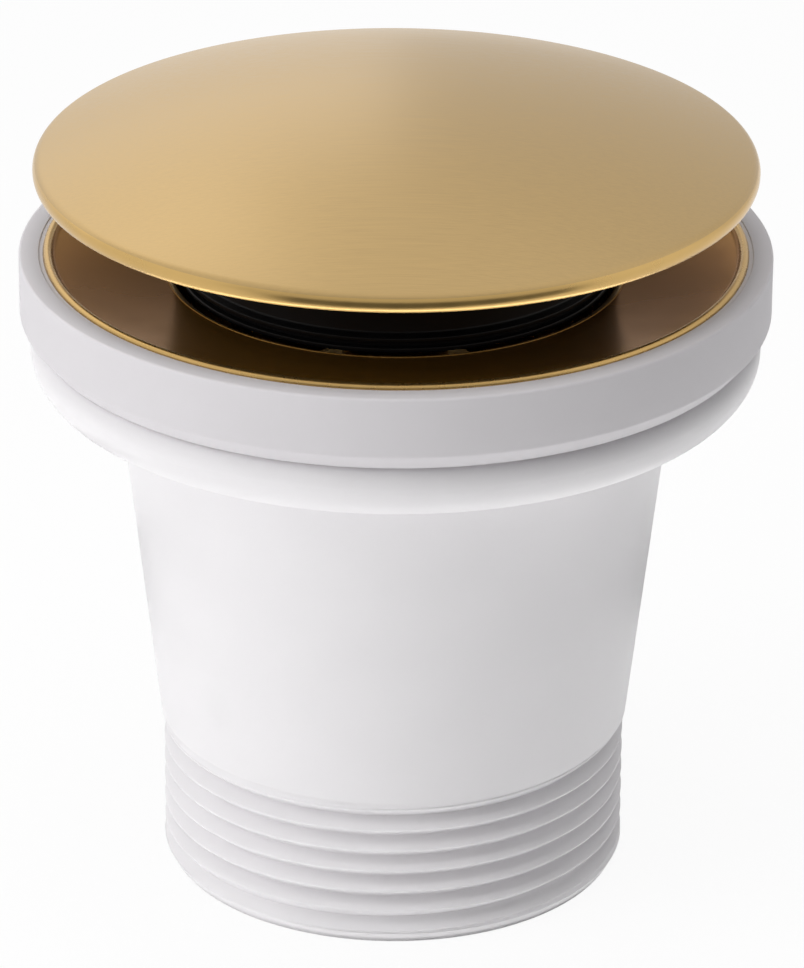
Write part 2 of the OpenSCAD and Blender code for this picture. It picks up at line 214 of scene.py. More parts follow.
class StageSettings(bpy.types.PropertyGroup):
    """Camera, floor and light"""

    elevation: angle("Elevation", "Angle at which the camera looks down", 24.73)
    roll: angle("Roll", "Turn of the camera about its own axis", 0.35)
    distance: length("Distance", "From the camera to the middle of the object", 650)
    aside: length("Aside", "How far the camera stands to the right of the axis", 0.75)
    aim: length("Aim", "Height at which the camera looks", 40.67)
    lens: number("Lens", "Focal length of the camera in mm", 235.5, least=1)
    key: number("Key", "Power of the soft light on the left in W", 2.8)
    top: number("Top", "Power of the soft light overhead in W", 6.5)
    table: number("Table", "Power of the soft light from the table top in W", 1.0)
    fill: number("Fill", "Strength of the light from all around", 0.05)
    floor_colour: colour("Floor", "Paint of the floor", "#F4F4F4")


def draw_outline(bm, runs, closed=False):
    """Draws a line in the XZ plane through corners and arcs, in millimetres and degrees."""
    ends = []
    rounded = []
    for run in runs:
        if isinstance(run, Corner):
            point = bm.verts.new((run.x * MM, 0, run.z * MM))
            ends.append((point, point))
            if run.round:
                rounded.append((point, run.round * MM))
            continue
        centre = Vector((run.x, 0, run.z)) * MM
        start = math.radians(run.start)
        first = bm.verts.new(centre + Vector((math.cos(start), 0, math.sin(start))) * run.radius * MM)
        swept = bmesh.ops.spin(
            bm,
            geom=[first],
            cent=centre,
            axis=(0, -1, 0),
            angle=math.radians(run.end - run.start),
            steps=max(2, round(abs(run.end - run.start) / run.step)),
        )
        ends.append((first, next(g for g in swept["geom_last"] if isinstance(g, bmesh.types.BMVert))))
    for before, after in zip(ends, ends[1:] + (ends[:1] if closed else [])):
        bm.edges.new((before[1], after[0]))
    for point, radius in rounded:
        one, other = ((e.other_vert(point).co - point.co) for e in point.link_edges)
        bmesh.ops.bevel(
            bm,
            geom=[point],
            offset=radius / math.tan(one.angle(other) / 2),
            offset_type="OFFSET",
            segments=ROUND_STEPS,
            profile=0.5,
            affect="VERTICES",
            material=-1,
        )
    bmesh.ops.remove_doubles(bm, verts=bm.verts, dist=WELD)


def turn(bm, steps=TURN_STEPS):
    """Spins an outline a full turn about the part's axis."""
    bmesh.ops.spin(
        bm,
        geom=bm.verts[:] + bm.edges[:],
        cent=(0, 0, 0),
        axis=(0, 0, 1),
        angle=math.tau,
        steps=steps,
        use_merge=True,
    )
    bmesh.ops.remove_doubles(bm, verts=bm.verts, dist=WELD)


def turned(runs):
    """A closed ring or dome: an outline spun a full turn."""
    bm = bmesh.new()
    draw_outline(bm, runs, closed=runs[0].x > 0)
    turn(bm)
    return bm


def add_bar(bm, size, centre, turn_z, bevel):
    """Adds a bar with rounded edges that reaches out from the axis; its sizes are in millimetres."""
    bar = bmesh.ops.create_cube(bm, size=1)["verts"]
    bmesh.ops.scale(bm, vec=Vector(size) * MM, verts=bar)
    bmesh.ops.translate(bm, vec=Vector(centre) * MM, verts=bar)
    bmesh.ops.rotate(bm, cent=(0, 0, 0), matrix=Matrix.Rotation(turn_z, 3, "Z"), verts=bar)
    edges = list({e for v in bar for e in v.link_edges})
    bmesh.ops.bevel(
        bm,
        geom=edges,
        offset=bevel * MM,
        offset_type="OFFSET",
        segments=3,
        profile=0.5,
        affect="EDGES",
        material=-1,
    )


def to_mesh(bm, name):
    """The mesh of a finished shape."""
    mesh = bpy.data.meshes.new(name)
    bm.to_mesh(mesh)
    bm.free()
    return mesh


def join(bm, other):
    """Adds another shape to the first."""
    mesh = to_mesh(other, "joined")
    bm.from_mesh(mesh)
    bpy.data.meshes.remove(mesh)


def add_object(name, data):
    """Puts a mesh, a lamp or a camera in the scene."""
    item = bpy.data.objects.new(name, data)
    bpy.context.scene.collection.objects.link(item)
    return item


def finish_piece(bm, name, body, material, node):
    """Makes the shape a smooth-shaded object that stands for a CAD node and rides on its body."""
    bmesh.ops.recalc_face_normals(bm, faces=bm.faces)
    mesh = to_mesh(bm, name)
    mesh.shade_smooth()
    mesh.set_sharp_from_angle(angle=CREASE)
    mesh.materials.append(material)
    piece = add_object(name, mesh)
    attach(piece, body)
    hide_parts(node)
    return piece


def dress(material, *nodes):
    """Gives a finish to CAD nodes that show as they are."""
    for name in nodes:
        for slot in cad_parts[name].material_slots:
            slot.material = material


def add_node(tree, kind, sockets=(), **settings):
    """Adds a node with its settings and links.

    Sockets maps each input to a value, or to the output or node that feeds it."""
    node = tree.nodes.new(kind)
    for name, value in settings.items():
        setattr(node, name, value)
    for key, value in dict(sockets).items():
        if isinstance(value, bpy.types.Node):
            value = value.outputs[0]
        if isinstance(value, bpy.types.NodeSocket):
            tree.links.new(value, node.inputs[key])
        else:
            node.inputs[key].default_value = value
    return node


def empty_material(name):
    """A material without nodes, and its tree."""
    material = bpy.data.materials.new(name)
    material.use_nodes = True
    material.node_tree.nodes.clear()
    return material, material.node_tree


def new_material(name, **shader):
    """A material with a Principled shader whose constant inputs are set."""
    material, tree = empty_material(name)
    names = {key: key.replace("_", " ").title().replace("Ior", "IOR") for key in shader}
    inputs = {names[key]: value for key, value in shader.items()}
    principled = add_node(tree, "ShaderNodeBsdfPrincipled", inputs)
    add_node(tree, "ShaderNodeOutputMaterial", {"Surface": principled.outputs["BSDF"]})
    return material, tree, principled


def grain(tree, size, **settings):
    """Noise on the piece's own coordinates; its grains are sized in millimetres along X, Y and Z."""
    place = add_node(tree, "ShaderNodeTexCoord").outputs["Object"]
    scale = [1 / (mm * MM) for mm in size]
    spaced = add_node(tree, "ShaderNodeMapping", {"Vector": place, "Scale": scale})
    return add_node(tree, "ShaderNodeTexNoise", {"Vector": spaced, "Scale": 1.0, **settings})


def spread(pattern, low=0.0, high=1.0):
    """Sockets of a Map Range that stretches the middle of a noise over low to high."""
    return {"Value": pattern, "From Min": 0.3, "From Max": 0.7, "To Min": low, "To Max": high}


def cover(tree, shader, tone, relief, colours, roughness, depth):
    """Lets one pattern run a surface's colour and gloss, and another its relief.

    The depth of the relief is in millimetres; sockets 6 and 7 of the mix are its two colours."""
    ease = add_node(tree, "ShaderNodeMapRange", spread(tone))
    tint = add_node(tree, "ShaderNodeMix", {0: ease, 6: colours[0], 7: colours[1]}, data_type="RGBA")
    gloss = add_node(tree, "ShaderNodeMapRange", spread(tone, *roughness))
    relief_sockets = {"Height": relief, "Strength": 0.5, "Distance": depth * MM}
    bump = add_node(tree, "ShaderNodeBump", relief_sockets)
    tree.links.new(tint.outputs[2], shader.inputs["Base Color"])
    tree.links.new(gloss.outputs[0], shader.inputs["Roughness"])
    tree.links.new(bump.outputs[0], shader.inputs["Normal"])


def shades(base, dark, light):
    """A linear colour made darker and lighter by two shares."""
    return [(*(min(1, c * share) for c in base[:3]), 1.0) for share in (dark, light)]


def brushed_brass(base):
    """Satin brass sheet, brushed in straight lines and lacquered.

    The lines run across the cap, so they show as a fine level grain, and highlights smear across it.
    Real brush lines are about 0.05 mm wide; they are drawn 0.16 mm wide to show."""
    material, tree, shader = new_material(
        "brushed_satin_brass", metallic=1.0, anisotropic=0.45, coat_weight=0.42, coat_roughness=0.22
    )
    across = add_node(
        tree,
        "ShaderNodeVectorTransform",
        {"Vector": (0, 1, 0)},
        vector_type="VECTOR",
        convert_from="OBJECT",
        convert_to="WORLD",
    )
    tree.links.new(across.outputs[0], shader.inputs["Tangent"])
    lines = grain(tree, (9, 0.16, 0.16), Detail=3, Roughness=0.65)
    tints = shades(base, dark=0.93, light=1.05)
    cover(tree, shader, lines, lines, tints, roughness=(0.30, 0.42), depth=0.007)
    return material


def edge_brass_painted_highlight(base):
    """The cap's rolled edge: a lighter gold as a painted highlight, without brush lines."""
    material, tree, shader = new_material(
        "brass_edge_painted_highlight", metallic=1.0, coat_weight=0.4, coat_roughness=0.2
    )
    edge_grain = grain(tree, (4, 4, 4), Detail=2)
    tints = shades(base, dark=0.97, light=1.03)
    cover(tree, shader, edge_grain, edge_grain, tints, roughness=(0.26, 0.34), depth=0.001)
    return material


def shaded_raw_brass():
    """The cap's underside: pressed brass left dull as it came from the press, with a random tarnish
    mottle on a dark brown base that is painted shade under the cap.
    """
    material, tree, shader = new_material("raw_pressed_brass_painted_shade", metallic=0.8)
    tarnish = grain(tree, (2.5, 2.5, 2.5), Detail=4)
    # This dark brown is painted shade under the cap
    tints = shades(linear("#5A4018"), dark=0.85, light=1.08)
    cover(tree, shader, tarnish, tarnish, tints, roughness=(0.4, 0.52), depth=0.006)
    return material


def satin_brass(base):
    """The flange's rim and throat: cast brass with an even satin skin that glints along the bead."""
    material, tree, shader = new_material("satin_cast_brass", metallic=0.9)
    cast = grain(tree, (2, 2, 2), Detail=3)
    tints = shades(base, dark=0.95, light=1.04)
    cover(tree, shader, cast, cast, tints, roughness=(0.24, 0.32), depth=0.001)
    return material


def polished_brass_painted_shade(base):
    """The flange's dish: polished cast brass that mirrors the cap and seal over it, on a deep
    amber-brown base that is painted shade under the cap and painted reflection of brass in brass.

    Fine scratches scatter a little light, so it never goes quite black."""
    material, tree, shader = new_material(
        "polished_cast_brass_painted_shade", metallic=0.5, anisotropic=0.5, specular_tint=linear("#CBAE7C")
    )
    haze = grain(tree, (5, 5, 5), Detail=3)
    tints = shades(base, dark=0.97, light=1.03)
    cover(tree, shader, haze, haze, tints, roughness=(0.18, 0.24), depth=0.001)
    return material


def machined_brass():
    """Free-cutting brass bar, turned on a lathe.

    The tool leaves fine rings up its height, and handling dulls it in patches."""
    material, tree, shader = new_material("machined_brass", metallic=1.0)
    patches = grain(tree, (3, 3, 3), Detail=4)
    rings = grain(tree, (6, 6, 0.12), Detail=2)
    tints = shades(linear("#C79F5A"), dark=0.82, light=1.05)
    cover(tree, shader, patches, rings, tints, roughness=(0.22, 0.4), depth=0.004)
    return material


def tumbled_steel():
    """Stamped stainless steel, tumbled smooth: a soft grey with crossing scratches."""
    material, tree, shader = new_material("tumbled_stainless_steel", metallic=1.0)
    grit = grain(tree, (0.25, 0.25, 0.25), Detail=4, Roughness=0.7)
    tints = shades(linear("#C4C6C8"), dark=0.86, light=1.06)
    cover(tree, shader, grit, grit, tints, roughness=(0.25, 0.42), depth=0.003)
    return material


def spring_wire():
    """Drawn stainless spring wire: dark grey with a bright line along each turn."""
    material, tree, shader = new_material("drawn_spring_wire", metallic=1.0)
    draw_lines = grain(tree, (1.5, 1.5, 0.08), Detail=2)
    tints = shades(linear("#9C9FA3"), dark=0.82, light=1.08)
    cover(tree, shader, draw_lines, draw_lines, tints, roughness=(0.2, 0.36), depth=0.002)
    return material


def black_rubber(base):
    """Moulded nitrile rubber: deep black with a weak sheen, and a bloom that dulls it unevenly."""
    material, tree, shader = new_material("moulded_nitrile_rubber", ior=1.52, specular_ior_level=0.25)
    bloom = grain(tree, (4, 4, 4), Detail=3)
    skin = grain(tree, (0.18, 0.18, 0.18), Detail=2)
    tints = shades(base, dark=1, light=1.8)
    cover(tree, shader, bloom, skin, tints, roughness=(0.36, 0.5), depth=0.003)
    return material


def black_acetal():
    """Moulded black acetal: smooth, with fine flow marks and a satin gloss."""
    material, tree, shader = new_material("moulded_black_acetal", ior=1.48)
    flow = grain(tree, (2, 2, 0.8), Detail=3, Distortion=0.6)
    tints = shades(linear("#1B1B1D"), dark=0.85, light=1.35)
    cover(tree, shader, flow, flow, tints, roughness=(0.3, 0.45), depth=0.004)
    return material


def grey_rubber(base):
    """Moulded thermoplastic rubber: an even, matt pale grey with a very fine grain."""
    material, tree, shader = new_material("moulded_grey_rubber", ior=1.5, specular_ior_level=0.35)
    cloud = grain(tree, (11, 11, 11))
    skin = grain(tree, (0.2, 0.2, 0.2), Detail=3, Roughness=0.6)
    tints = shades(base, dark=0.985, light=1.01)
    cover(tree, shader, cloud, skin, tints, roughness=(0.58, 0.68), depth=0.003)
    return material


def white_polypropylene(base):
    """Moulded white polypropylene: a satin skin with faint sink marks.

    Light sinks into it and softens its grooves."""
    material, tree, shader = new_material(
        "moulded_white_polypropylene",
        ior=1.49,
        subsurface_weight=0.35,
        subsurface_scale=1.2 * MM,
        subsurface_radius=(1, 1, 1),
    )
    sink = grain(tree, (13, 13, 9), Detail=1)
    skin = grain(tree, (0.3, 0.3, 0.3))
    tints = shades(base, dark=0.99, light=1.01)
    cover(tree, shader, sink, skin, tints, roughness=(0.36, 0.46), depth=0.002)
    return material


def waxy_polymer(name, code):
    """Moulded acetal or fluoropolymer: smooth and slightly waxy, with soft mottling."""
    material, tree, shader = new_material(name, ior=1.45)
    mottle = grain(tree, (1.5, 1.5, 1.5), Detail=3)
    tints = shades(linear(code), dark=0.93, light=1.03)
    cover(tree, shader, mottle, mottle, tints, roughness=(0.28, 0.42), depth=0.003)
    return material


class BATHWASTE_OT_plug_cap(bpy.types.Operator):
    """Add the domed satin brass cap of the plug"""

    bl_idname = "bath_waste.plug_cap"
    bl_label = "Plug Cap"

    def execute(self, context):
        s = context.scene.waste_plug
        low, high = (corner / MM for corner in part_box("plug_cap"))
        edge, wall, rim_z = s.edge_radius / MM, s.wall / MM, low.z + s.edge_drop / MM
        edge_x, edge_z = high.x - edge, rim_z + edge * math.sin(s.edge_end)
        # The dome runs through the crown and meets the rolled edge without a kink
        rise = high.z - edge_z
        dome = (edge_x**2 + rise**2 - edge**2) / (2 * (rise - edge))
        dome_z = high.z - dome
        meet = math.degrees(math.acos(edge_x / (dome - edge)))
        inner_x = edge_x - s.lip / MM
        inner = math.degrees(math.acos(inner_x / (dome - wall)))
        bm = turned(
            [
                Arc(0, dome_z, dome, 90, meet, 0.5),
                Arc(edge_x, edge_z, edge, meet, -math.degrees(s.edge_end)),
                Corner(inner_x, rim_z, 0.2),
                Arc(0, dome_z, dome - wall, inner, 90, 1),
            ]
        )
        dome_brass = brushed_brass(s.cap_colour)
        cap = finish_piece(bm, "cap_shell", "plug", dome_brass, "plug_cap")
        cap.data.materials.append(shaded_raw_brass())
        cap.data.materials.append(edge_brass_painted_highlight(s.edge_highlight_colour))
        # Faces that point up less than steep, and aren't the underside, are the rolled edge and take
        # its lighter gold, a painted highlight; the underside takes a dark brown, painted shade
        underside, highlit_edge, steep = 1, 2, 0.55
        for face in cap.data.polygons:
            if face.normal.z < 0 and face.center.xy.length < inner_x * MM:
                face.material_index = underside
            elif face.normal.z < steep:
                face.material_index = highlit_edge
        dress(machined_brass(), "cap_stud")
        return {"FINISHED"}


class BATHWASTE_OT_plug_seal(bpy.types.Operator):
    """Add the black rubber seal with its lips and flap, and dress its carrier"""

    bl_idname = "bath_waste.plug_seal"
    bl_label = "Plug Seal"

    def execute(self, context):
        s = context.scene.waste_plug
        low, high = (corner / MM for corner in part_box("plug_seal"))
        soft = s.lip_round / MM
        lip_x, wall_x, in_x, hold_x = 22.0, 21.3, 19.6, 18.6
        lip, grip, flap, slant = 0.5, 1.37, 1.1, 0.7
        disc_x, disc_low, disc_high = 20.43, high.z - 4.43, high.z - grip
        neck_z, flap_z = low.z + 1.85, high.z - 1.6
        bm = turned(
            [
                Corner(in_x, low.z, soft),
                Corner(lip_x, low.z, soft),
                Corner(lip_x, low.z + lip, soft),
                Corner(wall_x, low.z + lip),
                Corner(wall_x, low.z + 2 * lip),
                Corner(lip_x, low.z + 2 * lip, soft),
                Corner(lip_x, low.z + 3 * lip, soft),
                Corner(wall_x, neck_z, 0.3),
                Corner(wall_x, flap_z - flap, 1.2),
                Corner(high.x, flap_z, 0.3),
                Corner(high.x, flap_z + flap, 0.3),
                Corner(lip_x, high.z, 0.8),
                Corner(hold_x, high.z, 0.2),
                Corner(hold_x, disc_high),
                Corner(disc_x, disc_high),
                Corner(disc_x, disc_low),
                Corner(hold_x, disc_low),
                Corner(hold_x, disc_low - grip, 0.2),
                Corner(in_x, disc_low - grip - slant),
            ]
        )
        rubber = black_rubber(s.seal_colour)
        finish_piece(bm, "seal_ring", "plug", rubber, "plug_seal")
        dress(black_acetal(), "seal_carrier")
        return {"FINISHED"}


def flange_dish(s):
    """Where the flange's dish leaves the bead of its rim and meets its hole, in millimetres."""
    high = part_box("waste_flange")[1] / MM
    bead = s.rim_width / MM / 2
    bead_x, bead_z = high.x - bead, high.z - bead
    x = bead_x + bead * math.cos(math.radians(BEAD_END))
    z = bead_z + bead * math.sin(math.radians(BEAD_END))
    flank_x, flank_z = x - s.flank_width / MM, z - s.flank_height / MM
    hole_x, hole_z = (s.throat_radius + s.hole_round) / MM, high.z - s.dish_depth / MM
    slope = (z - hole_z) / (x - hole_x)
    return Dish(bead, bead_x, bead_z, x, flank_x, flank_z, hole_x, hole_z, slope, z - s.wall / MM)


class BATHWASTE_OT_waste_flange(bpy.types.Operator):
    """Add the polished brass flange with its dish, throat, arms and hub"""

    bl_idname = "bath_waste.waste_flange"
    bl_label = "Outlet Flange"

    def spider(self, s, foot_z, reach):
        """The hub that the bolt goes through, on four arms that reach into the throat's wall."""
        hub, hub_top, bore = s.hub_radius / MM, foot_z + s.hub_height / MM, 4.3
        bm = bmesh.new()
        draw_outline(
            bm,
            [
                Corner(bore, foot_z, 0.3),
                Corner(hub, foot_z, 0.6),
                Corner(hub, hub_top, 0.6),
                Corner(bore, hub_top, 0.3),
            ],
            closed=True,
        )
        turn(bm, steps=96)
        arm, height, sink = s.arm_width / MM, s.arm_height / MM, 2.5
        start = hub - sink
        for quarter in range(4):
            add_bar(
                bm,
                (reach - start, arm, height),
                ((reach + start) / 2, 0, foot_z + height / 2),
                quarter * math.pi / 2,
                bevel=0.7,
            )
        return bm

    def execute(self, context):
        s = context.scene.waste_flange
        low, high = (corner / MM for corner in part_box("waste_flange"))
        dish, wall, throat, lip = flange_dish(s), s.wall / MM, s.throat_radius / MM, s.lip / MM
        bm = turned(
            [
                Corner(throat, low.z, 0.3),
                Corner(throat + wall, low.z, 0.3),
                Corner(throat + wall, dish.under_z - (dish.x - throat - wall) * dish.slope),
                Corner(dish.x, dish.under_z),
                Corner(high.x, dish.under_z),
                Arc(dish.bead_x, dish.bead_z, dish.bead, 0, BEAD_END, 7),
                Corner(dish.flank_x, dish.flank_z, 0.5),
                Arc(dish.hole_x + lip, dish.hole_z, lip, 0, 180, 22),
                Arc(dish.hole_x, dish.hole_z - s.hole_round / MM, s.hole_round / MM, 90, 180, 9),
            ]
        )
        join(bm, self.spider(s, low.z, throat + wall / 2))
        rim = satin_brass(s.rim_colour)
        flange = finish_piece(bm, "dish_flange", "waste", rim, "waste_flange")
        flange.data.materials.append(polished_brass_painted_shade(s.dish_shade_colour))
        # Upward faces of the dish take the deep brown brass of painted shade; the rest keeps the
        # satin brass
        polished, upward = 1, 0.5
        for face in flange.data.polygons:
            if face.normal.z > upward and dish.hole_x * MM < face.center.xy.length < dish.x * MM:
                face.material_index = polished
        return {"FINISHED"}


class BATHWASTE_OT_sealing_washer(bpy.types.Operator):
    """Add the pale grey rubber washer that holds the flange off the body"""

    bl_idname = "bath_waste.sealing_washer"
    bl_label = "Sealing Washer"

    def execute(self, context):
        s = context.scene.waste_flange
        low, high = (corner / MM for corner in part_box("sealing_washer"))
        seat_x, inner_x = high.x - s.collar / MM, s.washer_bore / MM
        groove_depth, rim_gap = 0.12, 0.02
        dish = flange_dish(s)
        shelf_z, rim_x = high.z - groove_depth, dish.bead_x + dish.bead + rim_gap
        bm = turned(
            [
                Corner(inner_x, low.z, 0.2),
                Corner(high.x - s.bevel_width / MM, low.z, 0.3),
                Corner(high.x, low.z + s.bevel_height / MM, 0.5),
                Corner(high.x, high.z, 0.3),
                Corner(seat_x, high.z, 0.12),
                Corner(seat_x, shelf_z),
                Corner(rim_x, shelf_z),
                Corner(rim_x, dish.under_z),
                Corner(dish.x, dish.under_z),
                Corner(inner_x, dish.under_z - (dish.x - inner_x) * dish.slope),
            ]
        )
        rubber = grey_rubber(s.washer_colour)
        finish_piece(bm, "grey_washer", "waste", rubber, "sealing_washer")
        return {"FINISHED"}


class BATHWASTE_OT_waste_body(bpy.types.Operator):
    """Add the white moulded body with a right-hand pipe thread on its tail, and dress its insert"""

    bl_idname = "bath_waste.waste_body"
    bl_label = "Threaded Body"

    # Steps to a turn of the thread, its turns before it is cut, and degrees from a crest to a flank
    THREAD_STEPS = 96
    THREAD_TURNS = 8
    FLANK = 62.5

    def thread(self, s, crest_x):
        """Sweeps one pitch of the thread up the tail and cuts it level under and over the turns.

        Its grooves run out on a cone at each end."""
        bm = bmesh.new()
        pitch, soft = s.pitch / MM, s.crest_round / MM
        root_x = crest_x - s.depth / MM
        draw_outline(
            bm,
            [
                Arc(root_x + soft, -pitch / 2, soft, 180, 180 - self.FLANK, 21),
                Arc(crest_x - soft, 0, soft, -self.FLANK, self.FLANK, 18),
                Arc(root_x + soft, pitch / 2, soft, 180 + self.FLANK, 180, 21),
            ],
        )
        lowest = s.crest_height - (self.THREAD_TURNS - 2) * s.pitch
        front = 0.75  # of a turn, from where the sweep starts to the front
        bmesh.ops.translate(bm, vec=(0, 0, lowest - front * s.pitch), verts=bm.verts)
        bmesh.ops.spin(
            bm,
            geom=bm.verts[:] + bm.edges[:],
            cent=(0, 0, 0),
            axis=(0, 0, 1),
            dvec=(0, 0, s.pitch / self.THREAD_STEPS),
            angle=math.tau * self.THREAD_TURNS,
            steps=self.THREAD_STEPS * self.THREAD_TURNS,
        )
        bmesh.ops.remove_doubles(bm, verts=bm.verts, dist=WELD * 10)
        for height, keep_over in ((s.lead, True), (s.ledge_height, False)):
            bmesh.ops.bisect_plane(
                bm,
                geom=bm.verts[:] + bm.edges[:] + bm.faces[:],
                dist=WELD,
                plane_co=(0, 0, height),
                plane_no=(0, 0, 1),
                clear_outer=not keep_over,
                clear_inner=keep_over,
            )
        for vert in bm.verts:
            across = vert.co.xy.length
            cone = crest_x * MM - s.run_out * min(s.ledge_height - vert.co.z, vert.co.z - s.lead)
            if across < cone:
                vert.co.xy *= cone / across
        return bm

    def add_boss(self, bm):
        """Adds the boss round the insert, and the four ribs that hold it in the barrel."""
        low, high = (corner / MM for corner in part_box("body_insert"))
        flats, boss_x, height = 13, 9.2, high.z - low.z
        hexagon = flats / 2 / math.cos(math.radians(30))
        foot = Matrix.Translation((0, 0, low.z * MM)) @ Matrix.Rotation(math.pi / 6, 4, "Z")
        boss = []
        for radius, sides in ((hexagon, 6), (boss_x, 96)):
            boss += bmesh.ops.create_circle(
                bm,
                cap_ends=False,
                radius=radius * MM,
                segments=sides,
                matrix=foot,
            )["verts"]
        edges = list({e for v in boss for e in v.link_edges})
        face = bmesh.ops.bridge_loops(bm, edges=edges)["faces"]
        raised = bmesh.ops.extrude_face_region(bm, geom=face, use_keep_orig=True)["geom"]
        bmesh.ops.translate(
            bm,
            vec=(0, 0, height * MM),
            verts=[g for g in raised if isinstance(g, bmesh.types.BMVert)],
        )
        sink, reach, rib = 1, 24.5, 2.6
        start = boss_x - sink
        for quarter in range(4):
            add_bar(
                bm,
                (reach - start, rib, height),
                ((reach + start) / 2, 0, (high.z + low.z) / 2),
                (quarter + 0.5) * math.pi / 2,
                bevel=0.3,
            )

    def execute(self, context):
        s = context.scene.waste_body
        low, high = (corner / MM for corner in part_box("waste_body"))
        ledge_x, ledge, crest_x, lead = 24.2, s.ledge_height / MM, 23.9, s.lead / MM
        flange_low, flange_top, flange_round = 53.1, high.z - 1, s.flange_round / MM
        barrel_x, well_x, well_z = 28.35, 24.4, 36.64
        step_x, step_z, outlet_x, outlet_z = 21.3, 16.5, 20.3, 15.5
        collar, bevel, proud, ease = 0.7, 0.8, 0.02, 0.16
        bm = self.thread(s, crest_x)
        skin = bmesh.new()
        draw_outline(
            skin,
            [
                Corner(ledge_x, ledge),
                Corner(ledge_x + proud, ledge + ease, 0.1),
                Corner(barrel_x, flange_low, 0.25),
                Arc(high.x - flange_round, flange_low + flange_round, flange_round, -90, 0, 7),
                Corner(high.x, flange_top, s.top_round / MM),
                Corner(well_x + collar, flange_top, 0.15),
                Corner(well_x + collar, high.z, 0.15),
                Corner(well_x, high.z, 0.15),
                Corner(well_x, well_z, 2),
                Corner(step_x, step_z, 0.4),
                Corner(outlet_x, outlet_z, 0.4),
                Corner(outlet_x, low.z + bevel),
                Corner(outlet_x + bevel, low.z),
                Corner(crest_x - s.lead_taper / MM, low.z, 0.2),
                Corner(crest_x + proud, lead),
            ],
        )
        turn(skin)
        join(bm, skin)
        for height in (lead, ledge):
            rims = [
                e
                for e in bm.edges
                if e.is_boundary and all(abs(v.co.z - height * MM) < LEVEL for v in e.verts)
            ]
            bmesh.ops.bridge_loops(bm, edges=rims)
        self.add_boss(bm)
        plastic = white_polypropylene(s.colour)
        finish_piece(bm, "threaded_body", "waste", plastic, "waste_body")
        dress(machined_brass(), "body_insert")
        return {"FINISHED"}


class BATHWASTE_OT_clicker(bpy.types.Operator):
    """Add the clicker's coil spring and dress its sleeve, post, plunger and index ring"""

    bl_idname = "bath_waste.clicker"
    bl_label = "Clicker"

    def execute(self, context):
        s = context.scene.waste_clicker
        low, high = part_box("return_spring")
        steps, gap = 48, 0.03 * MM
        closed = 2 * s.wire + gap
        height = high.z - low.z - 2 * s.wire - 2 * closed
        start = Matrix.Translation((high.x - s.wire, 0, low.z + s.wire))
        bm = bmesh.new()
        section = bmesh.ops.create_circle(
            bm,
            cap_ends=True,
            radius=s.wire,
            segments=14,
            matrix=start @ Matrix.Rotation(math.pi / 2, 4, "X"),
        )["verts"]
        last = list({f for v in section for f in v.link_faces})
        for turns, lift in ((1, closed), (s.turns - 2, height / (s.turns - 2)), (1, closed)):
            last = bmesh.ops.spin(
                bm,
                geom=last,
                cent=(0, 0, 0),
                axis=(0, 0, 1),
                dvec=(0, 0, lift / steps),
                angle=math.tau * turns,
                steps=steps * turns,
            )["geom_last"]
            last = [g for g in last if isinstance(g, bmesh.types.BMFace)]
        wire = spring_wire()
        spring = finish_piece(bm, "coil_spring", "waste", wire, "return_spring")
        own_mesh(spring)
        dress(machined_brass(), "clicker_sleeve", "clicker_post", "plunger")
        dress(tumbled_steel(), "track_pins", "ring_clip")
        dress(waxy_polymer("moulded_ivory_acetal", "#E3E0D4"), "index_ring", "index_crown")
        dress(waxy_polymer("white_fluoropolymer", "#EEEEEA"), "thrust_washer")
        return {"FINISHED"}


class BATHWASTE_OT_fixings(bpy.types.Operator):
    """Dress the fixing bolt, the seal's nut and the washers"""

    bl_idname = "bath_waste.fixings"
    bl_label = "Fixings"

    def execute(self, context):
        dress(machined_brass(), "fixing_bolt", "seal_nut")
        dress(tumbled_steel(), "bolt_washer", "carrier_washer")
        return {"FINISHED"}


